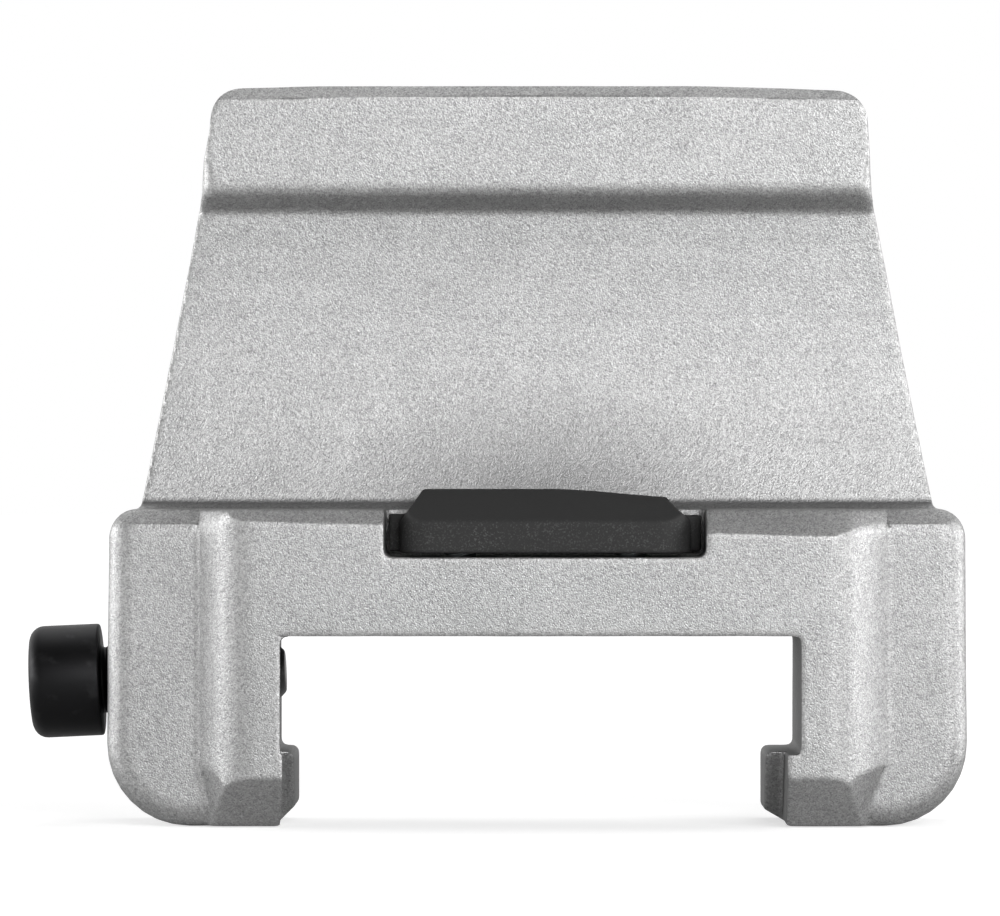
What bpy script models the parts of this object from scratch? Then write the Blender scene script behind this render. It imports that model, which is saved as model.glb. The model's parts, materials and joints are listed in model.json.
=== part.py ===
"""Clamp-on rail cleat.

A cast aluminium saddle slides along a flat rail and is locked by a cap screw with a
swivel tip. A tapered wall with a hooked lip rises behind a ledge, and a rubber buffer
sits in a slot in that ledge. X runs across the rail, Y runs along it away from the front
face, and Z points up from the seat that rests on the rail. All sizes are in metres.
"""

import math

import bmesh
import bpy
from mathutils import Matrix, Vector, geometry

# Rail and the channel that takes it
RAIL_WIDTH = 0.0455
RAIL_THICKNESS = 0.0100
RAIL_SIDE_PLAY = 0.0006
RAIL_HEIGHT_PLAY = 0.00025
CHANNEL_CORNER_RADIUS = 0.0006

# Lips that hold the saddle down under the rail
LIP_HEIGHT = 0.00665
LIP_NOSE_RADIUS = 0.0007
LIP_SETBACK = 0.0060
LIP_FRONT_SLOPE_RUN = 0.0056
SCREW_SIDE_LIP_ROOT = 0.0002
SCREW_SIDE_LIP_REACH = 0.0016
SCREW_SIDE_CHAMFER_RUN = 0.0016
SCREW_SIDE_CHAMFER_RISE = 0.0016
FAR_SIDE_LIP_ROOT = 0.0012
FAR_SIDE_LIP_REACH = 0.0029
FAR_SIDE_CHAMFER_RUN = 0.0021
FAR_SIDE_CHAMFER_RISE = 0.00125

# Base casting
BASE_WIDTH = 0.0762
BASE_DRAFT = 0.00025
BASE_DEPTH = 0.0200
LEDGE_HEIGHT = 0.0112
SHOULDER_TOP_RADIUS = 0.0026
SHOULDER_FOOT_RADIUS = 0.0073
SHOULDER_EDGE_RADIUS = 0.0020
REAR_EDGE_RADIUS = 0.0010

# Raised block on the front of the base
BLOCK_PROUD = 0.0042
BLOCK_WIDTH = 0.0607
BLOCK_OFFSET = 0.0005
BLOCK_FACE_WIDTH = 0.0541
BLOCK_CORNER_RADIUS = 0.0040
BLOCK_STEP = 0.00005
SCREW_SIDE_TOP_CHAMFER = 0.0010
FAR_SIDE_TOP_CHAMFER = 0.0024
BLOCK_FOOT_CHAMFER = 0.0044
BLOCK_FOOT_CORNER_RISE = 0.0012
BLOCK_FOOT_CORNER_RUN = 0.0016

# Tapered wall and its hooked lip
LEDGE_DEPTH = 0.0085
WALL_FOOT_INSET = 0.0029
WALL_FOOT_FILLET = 0.0010
WALL_LEAN = 0.0018
WALL_HOLLOW = 0.0011
WALL_REAR_SETBACK = 0.0006
WALL_REAR_LEAN = 0.0012
CREST_HEIGHT = 0.0487
CREST_WIDTH = 0.0584
SCREW_SIDE_CREST_DROP = 0.0003
FAR_SIDE_CREST_DROP = 0.0005
CREST_CROWN = 0.0006
CREST_CORNER_RADIUS = 0.0030
CREST_REAR_RADIUS = 0.0015
HOOK_HEIGHT = 0.0095
HOOK_WIDTH = 0.0596
HOOK_OVERHANG = 0.0024
HOOK_SLOPE = math.radians(35.0)
HOOK_EDGE_RADIUS = 0.0016
HOOK_TOP_RADIUS = 0.0011
HOOK_COVE_RADIUS = 0.0007

# Rubber buffer, its backing plate and the two screws that hold them
SLOT_WIDTH = 0.0281
SLOT_OFFSET = 0.0007
SLOT_FLOOR = 0.0070
SLOT_CORNER_RADIUS = 0.0006
SLOT_REAR_LAND = 0.0012
BUFFER_SIDE_GAP = 0.00135
BUFFER_HEIGHT = 0.0056
BUFFER_CHAMFER = 0.00285
BUFFER_END_CHAMFER = 0.0020
BUFFER_INSET = 0.0003
BUFFER_FRONT_RADIUS = 0.0026
BUFFER_REAR_RADIUS = 0.0008
FLANGE_SETBACK = 0.0042
FLANGE_HEIGHT = 0.0034
FLANGE_STEP = 0.0001
PLATE_END_MARGIN = 0.00275
PLATE_BREADTH = 0.0044
PLATE_THICKNESS = 0.0016
PLATE_CORNER_RADIUS = 0.0008
BUFFER_SCREW_SPACING = 0.0150
BUFFER_SCREW_SETBACK = 0.0040
BUFFER_SCREW_PAST_PLATE = 0.0014
BUFFER_SCREW_DIAMETER = 0.0030
BUFFER_SCREW_END_CHAMFER = 0.0004
BUFFER_HEAD_DIAMETER = 0.0056
BUFFER_HEAD_SINK = 0.0003
BUFFER_HEX_WIDTH = 0.0020
BUFFER_HEX_DEPTH = 0.0011

# Clamp screw, its thread insert and its swivel tip
SCREW_TILT = math.radians(2.6)
SCREW_HEIGHT = -0.0034
SCREW_DIAMETER = 0.0060
SCREW_END_CHAMFER = 0.0008
HEAD_DIAMETER = 0.0100
HEAD_HEIGHT = 0.0063
HEAD_EDGE_RADIUS = 0.0013
HEAD_STANDOFF = 0.0007
HEX_WIDTH = 0.0050
HEX_DEPTH = 0.0032
INSERT_WALL = 0.0010
INSERT_OUTER_SINK = 0.0006
INSERT_INNER_SINK = 0.0035
INSERT_CHAMFER = 0.0004
TIP_PROUD = 0.00065
TIP_DIAMETER = 0.0048
TIP_LENGTH = 0.0022
TIP_CHAMFER = 0.0006
STEM_DIAMETER = 0.0024
STEM_LENGTH = 0.0028
BEAD_DIAMETER = 0.0030
BEAD_LENGTH = 0.0010

# Clearances
SEAT_GAP = 0.0003
RUNNING_GAP = 0.0002
HOLE_GAP = 0.0003
OVERRUN = 0.0015

# Smoothness of arcs and turned pieces
ARC_SEGMENTS = 8
HOLLOW_SEGMENTS = 8
EDGE_SEGMENTS = 4
SCREW_STEPS = 36
SMALL_STEPS = 24
FLAT_ANGLE = math.radians(0.2)
SHARP_ANGLE = math.radians(32.0)
WELD_DISTANCE = 1e-7
PLANE_TOLERANCE = 1e-6
CORNER_ROOM = 0.48
RIM_ROOM = 0.8

# Places worked out from the sizes above
BASE_HALF = BASE_WIDTH / 2
BASE_TOP_HALF = BASE_HALF - BASE_DRAFT
WALL_FOOT_HALF = BASE_HALF - WALL_FOOT_INSET
CHANNEL_HALF = (RAIL_WIDTH + RAIL_SIDE_PLAY) / 2
CHANNEL_FLOOR = -(RAIL_THICKNESS + RAIL_HEIGHT_PLAY)
FOOT_Z = CHANNEL_FLOOR - LIP_HEIGHT
FRONT_Y = -BASE_DEPTH / 2
REAR_Y = BASE_DEPTH / 2
SHOULDER_Y = FRONT_Y + BLOCK_PROUD
WALL_Y = FRONT_Y + LEDGE_DEPTH
SLOT_REAR_Y = WALL_Y - SLOT_REAR_LAND
SCREW_Y = (SHOULDER_Y + REAR_Y) / 2
BUFFER_FRONT_Y = FRONT_Y + BUFFER_INSET
BUFFER_REAR_Y = SLOT_REAR_Y - SEAT_GAP
BUFFER_BOTTOM = SLOT_FLOOR + SEAT_GAP
BUFFER_TOP = BUFFER_BOTTOM + BUFFER_HEIGHT
BUFFER_HALF = SLOT_WIDTH / 2 - BUFFER_SIDE_GAP
BUFFER_SCREW_Y = FRONT_Y + BUFFER_SCREW_SETBACK
PLATE_LENGTH = BUFFER_SCREW_SPACING + 2 * PLATE_END_MARGIN
PLATE_TOP = BUFFER_BOTTOM + PLATE_THICKNESS
BUFFER_SCREW_LENGTH = PLATE_TOP + BUFFER_SCREW_PAST_PLATE - BUFFER_HEAD_SINK

# Places along the clamp screw, counted from the channel wall towards the tip
TIP_END = TIP_PROUD
TIP_BASE = TIP_END - TIP_LENGTH
SCREW_END = TIP_BASE - RUNNING_GAP
BOSS_FACE = -(BASE_HALF - CHANNEL_HALF) / math.cos(SCREW_TILT)
HEAD_UNDERSIDE = BOSS_FACE - HEAD_STANDOFF
HEAD_FACE = HEAD_UNDERSIDE - HEAD_HEIGHT
INSERT_OUTER_END = BOSS_FACE + INSERT_OUTER_SINK
INSERT_INNER_END = -INSERT_INNER_SINK
INSERT_RADIUS = SCREW_DIAMETER / 2 + INSERT_WALL

FRONT_VIEW = Matrix.Rotation(math.radians(90), 4, 'X')
SIDE_VIEW = Matrix(((0, 0, 1, 0), (1, 0, 0, 0), (0, 1, 0, 0), (0, 0, 0, 1)))
PLAN_VIEW = Matrix.Identity(4)


def clear_scene():
    """Remove whatever the file holds, so that the model starts from nothing."""
    for old in list(bpy.data.objects):
        bpy.data.objects.remove(old)


def new_collection(name):
    """A collection linked to the scene."""
    collection = bpy.data.collections.new(name)
    bpy.context.scene.collection.children.link(collection)
    return collection


def new_material(name, colour, roughness, metallic):
    """A Principled material with one colour."""
    material = bpy.data.materials.new(name)
    material.use_nodes = True
    shader = material.node_tree.nodes["Principled BSDF"]
    shader.inputs["Base Color"].default_value = (*colour, 1.0)
    shader.inputs["Roughness"].default_value = roughness
    shader.inputs["Metallic"].default_value = metallic
    return material


def rounded(corners):
    """An outline from corners (u, v) or (u, v, radius), with an arc at each radius."""
    points = []
    for i, corner in enumerate(corners):
        u, v = corner[:2]
        radius = corner[2] if len(corner) > 2 else 0.0
        back = (corners[i - 1][0] - u, corners[i - 1][1] - v)
        ahead_corner = corners[(i + 1) % len(corners)]
        ahead = (ahead_corner[0] - u, ahead_corner[1] - v)
        if radius <= 0.0:
            points.append((u, v))
            continue
        points.extend(corner_arc((u, v), back, ahead, radius))
    return points


def corner_arc(corner, back, ahead, radius):
    """Points of the arc that rounds one corner, from its back side to its side ahead."""
    back_length = math.hypot(*back)
    ahead_length = math.hypot(*ahead)
    back_unit = (back[0] / back_length, back[1] / back_length)
    ahead_unit = (ahead[0] / ahead_length, ahead[1] / ahead_length)
    cosine = back_unit[0] * ahead_unit[0] + back_unit[1] * ahead_unit[1]
    half_angle = math.acos(max(-1.0, min(1.0, cosine))) / 2
    room = CORNER_ROOM * min(back_length, ahead_length)
    tangent = min(radius / math.tan(half_angle), room)
    radius = tangent * math.tan(half_angle)
    middle = (back_unit[0] + ahead_unit[0], back_unit[1] + ahead_unit[1])
    reach = math.hypot(tangent, radius) / math.hypot(*middle)
    centre = (corner[0] + middle[0] * reach, corner[1] + middle[1] * reach)
    first = (corner[0] + back_unit[0] * tangent, corner[1] + back_unit[1] * tangent)
    start = math.atan2(first[1] - centre[1], first[0] - centre[0])
    cross = back_unit[0] * ahead_unit[1] - back_unit[1] * ahead_unit[0]
    sweep = math.copysign(math.pi - 2 * half_angle, -cross)
    points = []
    for step in range(ARC_SEGMENTS + 1):
        angle = start + sweep * step / ARC_SEGMENTS
        points.append((centre[0] + radius * math.cos(angle), centre[1] + radius * math.sin(angle)))
    return points


def bowed(first, last, bow):
    """Inner points of a shallow curve between two points, pushed to its right by the bow."""
    along = (last[0] - first[0], last[1] - first[1])
    length = math.hypot(*along)
    aside = (along[1] / length, -along[0] / length)
    points = []
    for step in range(1, HOLLOW_SEGMENTS):
        share = step / HOLLOW_SEGMENTS
        push = bow * 4 * share * (1 - share)
        points.append((first[0] + along[0] * share + aside[0] * push,
                       first[1] + along[1] * share + aside[1] * push))
    return points


def baked(source):
    """The evaluated mesh of an object, welded, with its faces pointing out."""
    graph = bpy.context.evaluated_depsgraph_get()
    mesh = bpy.data.meshes.new_from_object(source.evaluated_get(graph))
    shape = bmesh.new()
    shape.from_mesh(mesh)
    bmesh.ops.remove_doubles(shape, verts=shape.verts, dist=WELD_DISTANCE)
    bmesh.ops.dissolve_limit(shape, angle_limit=FLAT_ANGLE, verts=shape.verts, edges=shape.edges)
    bmesh.ops.recalc_face_normals(shape, faces=shape.faces)
    shape.to_mesh(mesh)
    shape.free()
    return mesh


def place(name, mesh, collection, material=None, parent=None):
    """An object for a finished mesh, shaded smooth across its shallow edges."""
    mesh.name = name
    mesh.shade_smooth()
    mesh.set_sharp_from_angle(angle=SHARP_ANGLE)
    if material:
        mesh.materials.append(material)
    thing = bpy.data.objects.new(name, mesh)
    thing.parent = parent
    collection.objects.link(thing)
    if collection is cutters:
        thing.hide_render = True
        thing.display_type = 'WIRE'
    return thing


def prism_mesh(points, view, low, high):
    """A closed outline drawn in one view and extruded between two depths."""
    curve = bpy.data.curves.new("outline", 'CURVE')
    curve.dimensions = '2D'
    curve.fill_mode = 'BOTH'
    curve.extrude = (high - low) / 2
    spline = curve.splines.new('POLY')
    spline.points.add(len(points) - 1)
    for point, (u, v) in zip(spline.points, points):
        point.co = (u, v, 0.0, 1.0)
    spline.use_cyclic_u = True
    drawing = bpy.data.objects.new("outline", curve)
    bpy.context.scene.collection.objects.link(drawing)
    mesh = baked(drawing)
    bpy.data.objects.remove(drawing)
    bpy.data.curves.remove(curve)
    middle = (low + high) / 2
    sign = -1 if view is FRONT_VIEW else 1
    mesh.transform(view @ Matrix.Translation((0, 0, sign * middle)))
    return mesh


def turned_mesh(profile, steps, ring=False):
    """A profile of (radius, height) points turned about Z. A ring's profile closes on itself."""
    mesh = bpy.data.meshes.new("profile")
    links = [(i, i + 1) for i in range(len(profile) - 1)]
    if ring:
        links.append((len(profile) - 1, 0))
    mesh.from_pydata([(radius, 0.0, height) for radius, height in profile], links, [])
    drawing = bpy.data.objects.new("profile", mesh)
    bpy.context.scene.collection.objects.link(drawing)
    screw = drawing.modifiers.new("turn", 'SCREW')
    screw.steps = steps
    screw.render_steps = steps
    screw.use_merge_vertices = True
    screw.merge_threshold = WELD_DISTANCE
    result = baked(drawing)
    bpy.data.objects.remove(drawing)
    bpy.data.meshes.remove(mesh)
    return result


def hexagon(width):
    """The corners of a hexagon with the given width across its flats."""
    radius = width / math.sqrt(3)
    angles = [math.pi / 3 * corner for corner in range(6)]
    return [(radius * math.cos(angle), radius * math.sin(angle)) for angle in angles]


def boolean(body, other, operation):
    """Add, cut or keep the overlap of another solid, with an exact Boolean."""
    modifier = body.modifiers.new(other.name, 'BOOLEAN')
    modifier.operation = operation
    modifier.object = other
    modifier.solver = 'EXACT'


def round_rim(mesh, at_y, radius):
    """Round the rim of a prism's flat end at one depth."""
    shape = bmesh.new()
    shape.from_mesh(mesh)
    rim = []
    for edge in shape.edges:
        if all(abs(vertex.co.y - at_y) < PLANE_TOLERANCE for vertex in edge.verts):
            rim.append(edge)
    bmesh.ops.bevel(shape, geom=rim, offset=radius, offset_type='OFFSET', segments=EDGE_SEGMENTS,
                    profile=0.5, affect='EDGES')
    shape.to_mesh(mesh)
    shape.free()


def slice_off(mesh, points, outward):
    """Slice off what lies past the plane through three points, and close the cut."""
    normal = geometry.normal(points)
    if normal.dot(outward) < 0:
        normal.negate()
    shape = bmesh.new()
    shape.from_mesh(mesh)
    everything = shape.verts[:] + shape.edges[:] + shape.faces[:]
    cut = bmesh.ops.bisect_plane(shape, geom=everything, plane_co=points[0], plane_no=normal,
                                 clear_outer=True)
    rim = [item for item in cut["geom_cut"] if isinstance(item, bmesh.types.BMEdge)]
    bmesh.ops.contextual_create(shape, geom=rim)
    bmesh.ops.recalc_face_normals(shape, faces=shape.faces)
    shape.to_mesh(mesh)
    shape.free()


def shoulder_plate():
    """The main plate of the base, with its rounded shoulders and soft rims."""
    outline = rounded([
        (-BASE_HALF, FOOT_Z, SHOULDER_FOOT_RADIUS),
        (BASE_HALF, FOOT_Z, SHOULDER_FOOT_RADIUS),
        (BASE_TOP_HALF, LEDGE_HEIGHT, SHOULDER_TOP_RADIUS),
        (-BASE_TOP_HALF, LEDGE_HEIGHT, SHOULDER_TOP_RADIUS),
    ])
    mesh = prism_mesh(outline, FRONT_VIEW, SHOULDER_Y, REAR_Y)
    smallest = min(SHOULDER_TOP_RADIUS, SHOULDER_FOOT_RADIUS)
    round_rim(mesh, SHOULDER_Y, min(SHOULDER_EDGE_RADIUS, RIM_ROOM * smallest))
    round_rim(mesh, REAR_Y, min(REAR_EDGE_RADIUS, RIM_ROOM * smallest))
    return mesh


def trim_foot_corner(mesh, side):
    """Slope the block's lower corner on one side, rising outwards and running in at the foot."""
    start = FOOT_Z + BLOCK_FOOT_CHAMFER
    face = BLOCK_FACE_WIDTH / 2
    points = [
        Vector((side * face, FRONT_Y, start)),
        Vector((BLOCK_OFFSET + side * BLOCK_WIDTH / 2, SHOULDER_Y, start + BLOCK_FOOT_CORNER_RISE)),
        Vector((side * (face + BLOCK_FOOT_CORNER_RUN), FRONT_Y + BLOCK_FOOT_CHAMFER, FOOT_Z)),
    ]
    slice_off(mesh, points, Vector((side, 0, 0)))


def trim_top_edge(mesh, top):
    """Chamfer the block's top edge, less on the screw's side than on the far side."""
    face = BLOCK_FACE_WIDTH / 2
    middle_depth = (SCREW_SIDE_TOP_CHAMFER + FAR_SIDE_TOP_CHAMFER) / 2
    points = [
        Vector((-face, FRONT_Y, top - SCREW_SIDE_TOP_CHAMFER)),
        Vector((face, FRONT_Y, top - FAR_SIDE_TOP_CHAMFER)),
        Vector((0.0, FRONT_Y + middle_depth, top)),
    ]
    slice_off(mesh, points, Vector((0, -1, 1)))


def front_block():
    """The raised block on the front, chamfered on its sides, its top and its feet.

    Its top and foot stop a hair short of the plate's, so that the two never share a plane.
    """
    left = BLOCK_OFFSET - BLOCK_WIDTH / 2
    right = BLOCK_OFFSET + BLOCK_WIDTH / 2
    root = SHOULDER_Y + SHOULDER_EDGE_RADIUS + OVERRUN / 2
    foot = FOOT_Z + BLOCK_STEP
    top = LEDGE_HEIGHT - BLOCK_STEP
    plan = rounded([
        (-BLOCK_FACE_WIDTH / 2, FRONT_Y, BLOCK_CORNER_RADIUS),
        (BLOCK_FACE_WIDTH / 2, FRONT_Y, BLOCK_CORNER_RADIUS),
        (right, SHOULDER_Y),
        (right, root),
        (left, root),
        (left, SHOULDER_Y),
    ])
    side = [
        (FRONT_Y, foot + BLOCK_FOOT_CHAMFER),
        (FRONT_Y + BLOCK_FOOT_CHAMFER, foot),
        (root + OVERRUN, foot),
        (root + OVERRUN, top),
        (FRONT_Y, top),
    ]
    plan_mesh = prism_mesh(plan, PLAN_VIEW, FOOT_Z - OVERRUN, LEDGE_HEIGHT + OVERRUN)
    trim_foot_corner(plan_mesh, -1)
    trim_foot_corner(plan_mesh, 1)
    trim_top_edge(plan_mesh, top)
    block = place("block_plan", plan_mesh, cutters)
    side_mesh = prism_mesh(side, SIDE_VIEW, left - OVERRUN, right + OVERRUN)
    boolean(block, place("block_side", side_mesh, cutters), 'INTERSECT')
    return block


def wall_profile():
    """The wall seen from the side: foot fillet, hollow face, hooked lip and plain back."""
    fillet = WALL_FOOT_FILLET
    buried = LEDGE_HEIGHT - OVERRUN
    top_y = WALL_Y + WALL_LEAN
    hook_y = top_y - HOOK_OVERHANG
    hook_z = CREST_HEIGHT - HOOK_HEIGHT
    cove_z = hook_z - HOOK_OVERHANG * math.tan(HOOK_SLOPE)
    foot = [(WALL_Y - 2 * fillet, buried), (WALL_Y - 2 * fillet, LEDGE_HEIGHT - fillet / 4)]
    for step in range(1, ARC_SEGMENTS + 1):
        angle = math.pi / 2 * step / ARC_SEGMENTS
        foot.append((WALL_Y - fillet * (1 - math.sin(angle)),
                     LEDGE_HEIGHT + fillet * (1 - math.cos(angle))))
    hollow = bowed(foot[-1], (top_y, cove_z), WALL_HOLLOW)
    return rounded(foot + hollow + [
        (top_y, cove_z, HOOK_COVE_RADIUS),
        (hook_y, hook_z, HOOK_EDGE_RADIUS),
        (hook_y, CREST_HEIGHT, HOOK_TOP_RADIUS),
        (REAR_Y - WALL_REAR_SETBACK - WALL_REAR_LEAN, CREST_HEIGHT, CREST_REAR_RADIUS),
        (REAR_Y - WALL_REAR_SETBACK, buried),
    ])


def wall():
    """The tapered wall: its side profile run across, kept inside its front outline.

    The outline tapers up to the hooked lip, whose ends then stand almost upright.
    """
    crest = CREST_WIDTH / 2
    hook = HOOK_WIDTH / 2
    hook_z = CREST_HEIGHT - HOOK_HEIGHT
    taper = (WALL_FOOT_HALF - hook) / (hook_z - LEDGE_HEIGHT)
    root = WALL_FOOT_HALF + taper * 2 * OVERRUN
    left_corner = (-crest, CREST_HEIGHT - SCREW_SIDE_CREST_DROP)
    right_corner = (crest, CREST_HEIGHT - FAR_SIDE_CREST_DROP)
    outline = rounded([
        (-root, LEDGE_HEIGHT - 2 * OVERRUN),
        (root, LEDGE_HEIGHT - 2 * OVERRUN),
        (hook, hook_z),
        (*right_corner, CREST_CORNER_RADIUS),
        *bowed(right_corner, left_corner, CREST_CROWN),
        (*left_corner, CREST_CORNER_RADIUS),
        (-hook, hook_z),
    ])
    across = root + OVERRUN
    body = place("wall_run", prism_mesh(wall_profile(), SIDE_VIEW, -across, across), cutters)
    front = place("wall_front", prism_mesh(outline, FRONT_VIEW, FRONT_Y, REAR_Y), cutters)
    boolean(body, front, 'INTERSECT')
    return body


def channel_cutter():
    """The rail channel and the neck between its lips, run right through the base."""
    left_nose = -CHANNEL_HALF + SCREW_SIDE_LIP_REACH
    right_nose = CHANNEL_HALF - FAR_SIDE_LIP_REACH
    left_run_on = SCREW_SIDE_CHAMFER_RUN * (1 + OVERRUN / SCREW_SIDE_CHAMFER_RISE)
    right_run_on = FAR_SIDE_CHAMFER_RUN * (1 + OVERRUN / FAR_SIDE_CHAMFER_RISE)
    outline = rounded([
        (left_nose - left_run_on, FOOT_Z - OVERRUN),
        (right_nose + right_run_on, FOOT_Z - OVERRUN),
        (right_nose, FOOT_Z + FAR_SIDE_CHAMFER_RISE),
        (right_nose, CHANNEL_FLOOR, LIP_NOSE_RADIUS),
        (CHANNEL_HALF, CHANNEL_FLOOR),
        (CHANNEL_HALF, 0.0, CHANNEL_CORNER_RADIUS),
        (-CHANNEL_HALF, 0.0, CHANNEL_CORNER_RADIUS),
        (-CHANNEL_HALF, CHANNEL_FLOOR),
        (left_nose, CHANNEL_FLOOR, LIP_NOSE_RADIUS),
        (left_nose, FOOT_Z + SCREW_SIDE_CHAMFER_RISE),
    ])
    return prism_mesh(outline, FRONT_VIEW, FRONT_Y - OVERRUN, REAR_Y + OVERRUN)


def lip_relief_cutter():
    """The space that sets the lips back from the front face, all but their short roots.

    The front of each lip slopes back towards its foot.
    """
    left = -CHANNEL_HALF + SCREW_SIDE_LIP_ROOT
    right = CHANNEL_HALF - FAR_SIDE_LIP_ROOT
    lip_top_y = FRONT_Y + LIP_SETBACK
    lip_foot_y = lip_top_y + LIP_FRONT_SLOPE_RUN
    run_on = OVERRUN * LIP_FRONT_SLOPE_RUN / LIP_HEIGHT
    outline = [
        (FRONT_Y - OVERRUN, FOOT_Z - OVERRUN),
        (lip_foot_y + run_on, FOOT_Z - OVERRUN),
        (lip_top_y - run_on, CHANNEL_FLOOR + OVERRUN),
        (FRONT_Y - OVERRUN, CHANNEL_FLOOR + OVERRUN),
    ]
    return prism_mesh(outline, SIDE_VIEW, left, right)


def slot_cutter():
    """The open-fronted slot in the ledge that takes the buffer."""
    left = SLOT_OFFSET - SLOT_WIDTH / 2
    right = SLOT_OFFSET + SLOT_WIDTH / 2
    outline = rounded([
        (left, SLOT_FLOOR, SLOT_CORNER_RADIUS),
        (right, SLOT_FLOOR, SLOT_CORNER_RADIUS),
        (right, LEDGE_HEIGHT + OVERRUN),
        (left, LEDGE_HEIGHT + OVERRUN),
    ])
    return prism_mesh(outline, FRONT_VIEW, FRONT_Y - OVERRUN, SLOT_REAR_Y)


def clamp_hole_cutter():
    """The stepped hole for the thread insert and the screw, along the screw's axis."""
    seat = INSERT_RADIUS + HOLE_GAP
    through = SCREW_DIAMETER / 2 + HOLE_GAP
    shoulder = INSERT_INNER_END + HOLE_GAP
    return turned_mesh([
        (0.0, OVERRUN),
        (through, OVERRUN),
        (through, shoulder),
        (seat, shoulder),
        (seat, BOSS_FACE - OVERRUN),
        (0.0, BOSS_FACE - OVERRUN),
    ], SCREW_STEPS)


def buffer_hole_cutter():
    """A countersunk hole up through the ledge for one buffer screw."""
    hole = BUFFER_SCREW_DIAMETER / 2 + HOLE_GAP
    mouth = BUFFER_HEAD_DIAMETER / 2 + HOLE_GAP
    cone_top = BUFFER_HEAD_SINK + mouth - hole
    return turned_mesh([
        (0.0, SLOT_FLOOR + OVERRUN),
        (hole, SLOT_FLOOR + OVERRUN),
        (hole, cone_top),
        (mouth, BUFFER_HEAD_SINK),
        (mouth, -OVERRUN),
        (0.0, -OVERRUN),
    ], SMALL_STEPS)


def buffer_screw_places():
    """The two buffer screws' places across the ledge, with their names."""
    return [
        ("left", SLOT_OFFSET - BUFFER_SCREW_SPACING / 2),
        ("right", SLOT_OFFSET + BUFFER_SCREW_SPACING / 2),
    ]


def make_saddle(material):
    """The casting: plate, block and wall joined, then its channel, slot and holes cut."""
    saddle = place("saddle_body", shoulder_plate(), parts, material)
    boolean(saddle, front_block(), 'UNION')
    boolean(saddle, wall(), 'UNION')
    boolean(saddle, place("channel_cut", channel_cutter(), cutters), 'DIFFERENCE')
    boolean(saddle, place("lip_relief_cut", lip_relief_cutter(), cutters), 'DIFFERENCE')
    boolean(saddle, place("slot_cut", slot_cutter(), cutters), 'DIFFERENCE')
    clamp_hole = place("clamp_hole_cut", clamp_hole_cutter(), cutters, parent=screw_axis)
    boolean(saddle, clamp_hole, 'DIFFERENCE')
    for side, x in buffer_screw_places():
        hole = place(f"buffer_hole_cut_{side}", buffer_hole_cutter(), cutters)
        hole.location = (x, BUFFER_SCREW_Y, 0.0)
        boolean(saddle, hole, 'DIFFERENCE')


def buffer_outline():
    """The buffer in plan, with large corners at its front."""
    left = SLOT_OFFSET - BUFFER_HALF
    right = SLOT_OFFSET + BUFFER_HALF
    return rounded([
        (left, BUFFER_FRONT_Y, BUFFER_FRONT_RADIUS),
        (right, BUFFER_FRONT_Y, BUFFER_FRONT_RADIUS),
        (right, BUFFER_REAR_Y, BUFFER_REAR_RADIUS),
        (left, BUFFER_REAR_Y, BUFFER_REAR_RADIUS),
    ])


def buffer_end_outline():
    """The buffer seen from the front, with its sloped ends, larger than the buffer elsewhere."""
    low = BUFFER_BOTTOM - OVERRUN
    shoulder = BUFFER_TOP - BUFFER_CHAMFER * (1 + OVERRUN / BUFFER_END_CHAMFER)
    wide = BUFFER_HALF + OVERRUN
    narrow = BUFFER_HALF - BUFFER_END_CHAMFER
    return [
        (SLOT_OFFSET - wide, low),
        (SLOT_OFFSET + wide, low),
        (SLOT_OFFSET + wide, shoulder),
        (SLOT_OFFSET + narrow, BUFFER_TOP),
        (SLOT_OFFSET - narrow, BUFFER_TOP),
        (SLOT_OFFSET - wide, shoulder),
    ]


def buffer_front_cutter():
    """The wedge that slopes the top of the buffer's front."""
    outline = [
        (BUFFER_FRONT_Y - OVERRUN, BUFFER_TOP - BUFFER_CHAMFER - OVERRUN),
        (BUFFER_FRONT_Y + BUFFER_CHAMFER + OVERRUN, BUFFER_TOP + OVERRUN),
        (BUFFER_FRONT_Y - OVERRUN, BUFFER_TOP + OVERRUN),
    ]
    wide = BUFFER_HALF + OVERRUN
    return prism_mesh(outline, SIDE_VIEW, SLOT_OFFSET - wide, SLOT_OFFSET + wide)


def buffer_flange():
    """The low flange at the buffer's ends, which fills the slot behind the buffer's front.

    Its foot and rear stop a hair short of the buffer's, so that the two never share a plane.
    """
    half = SLOT_WIDTH / 2 - SEAT_GAP
    front = BUFFER_FRONT_Y + FLANGE_SETBACK
    rear = BUFFER_REAR_Y - FLANGE_STEP
    outline = [
        (SLOT_OFFSET - half, front),
        (SLOT_OFFSET + half, front),
        (SLOT_OFFSET + half, rear),
        (SLOT_OFFSET - half, rear),
    ]
    foot = BUFFER_BOTTOM + FLANGE_STEP
    return prism_mesh(outline, PLAN_VIEW, foot, BUFFER_BOTTOM + FLANGE_HEIGHT)


def plate_outline(gap):
    """The backing plate in plan, grown by a gap for the pocket that takes it."""
    left = SLOT_OFFSET - PLATE_LENGTH / 2 - gap
    right = SLOT_OFFSET + PLATE_LENGTH / 2 + gap
    front = BUFFER_SCREW_Y - PLATE_BREADTH / 2 - gap
    rear = BUFFER_SCREW_Y + PLATE_BREADTH / 2 + gap
    return rounded([
        (left, front, PLATE_CORNER_RADIUS),
        (right, front, PLATE_CORNER_RADIUS),
        (right, rear, PLATE_CORNER_RADIUS),
        (left, rear, PLATE_CORNER_RADIUS),
    ])


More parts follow.
